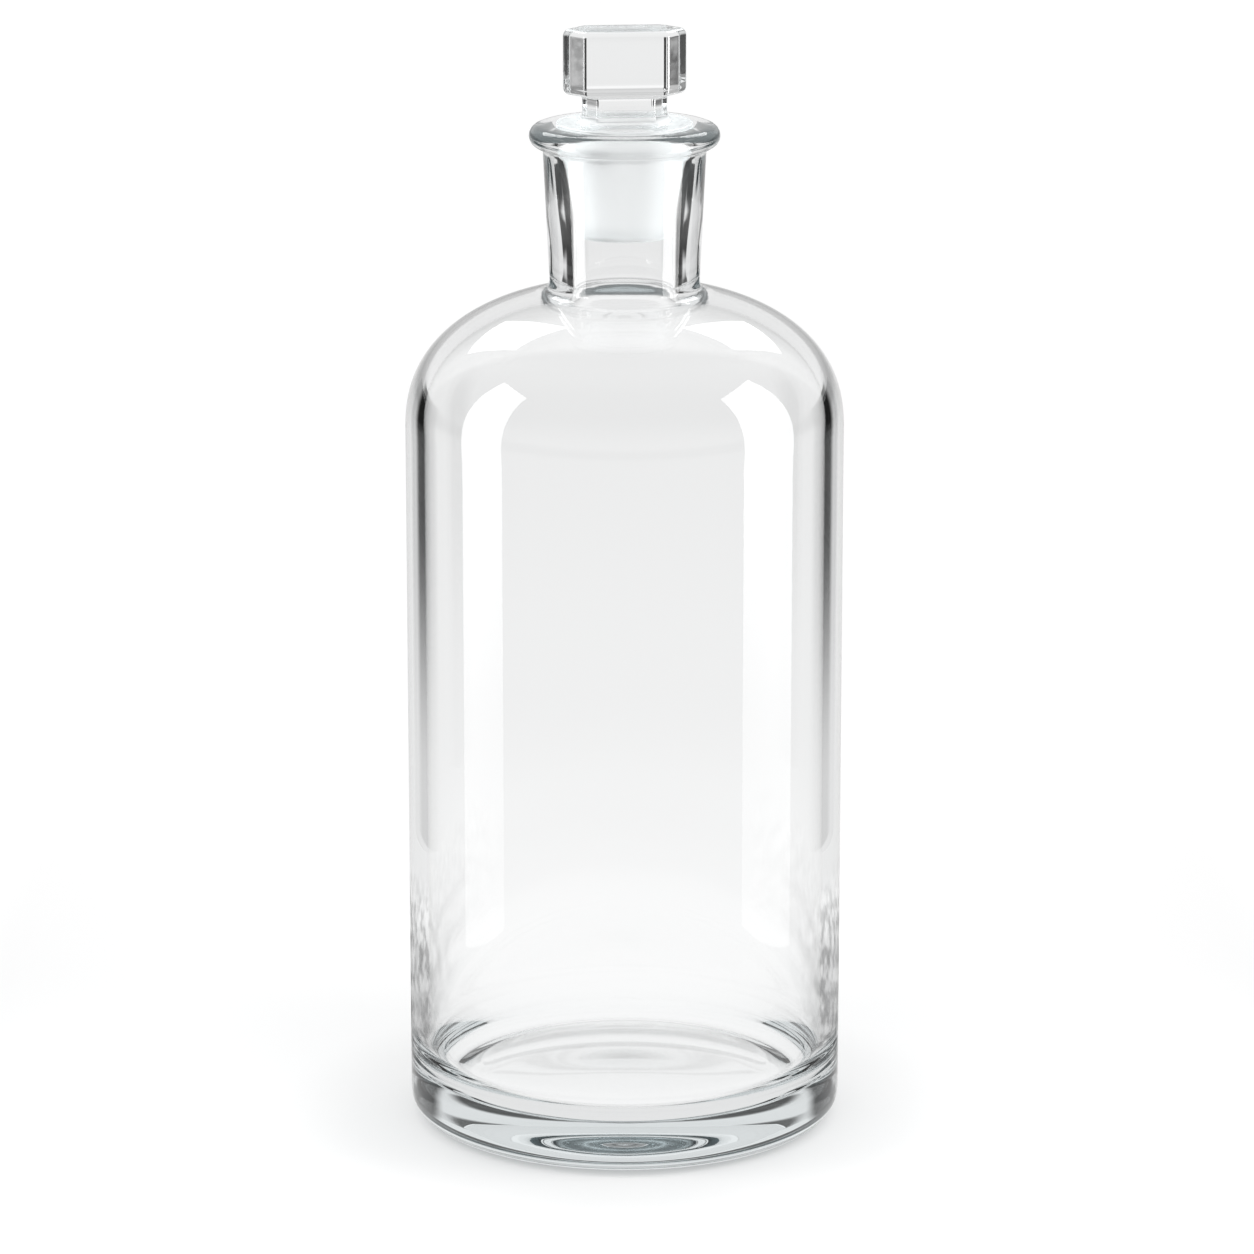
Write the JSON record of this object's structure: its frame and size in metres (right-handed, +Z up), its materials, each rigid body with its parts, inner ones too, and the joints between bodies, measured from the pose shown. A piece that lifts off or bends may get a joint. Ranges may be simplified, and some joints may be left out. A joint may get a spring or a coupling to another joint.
{
  "type": "winchester bottle",
  "caption": "Clear heavy-walled glass bottle with a domed shoulder, tapered neck and rounded lip, closed by a ground glass stopper with a hexagonal grip that lifts out.",
  "frame": {"origin": "middle of the foot, on the surface that the bottle stands on", "axes": "+Z up along the bottle's axis, +X to the right as the broad face of the grip is seen from -Y"},
  "size_m": [0.13, 0.13, 0.3311],
  "materials": {
    "bottle_glass": "clear, polished inside and out, faint blue-grey where it is thick",
    "stopper_glass": "clear and polished on the grip, finely ground and frosted on the plug"
  },
  "bodies": {
    "bottle": {"bottle": "bottle_glass"},
    "stopper": {"stopper": "stopper_glass"}
  },
  "joints": [
    {"name": "stopper_lift", "type": "slide", "parent": "bottle", "child": "stopper", "axis": [0, 0, 1], "range_m": [0, 0.09]}
  ]
}
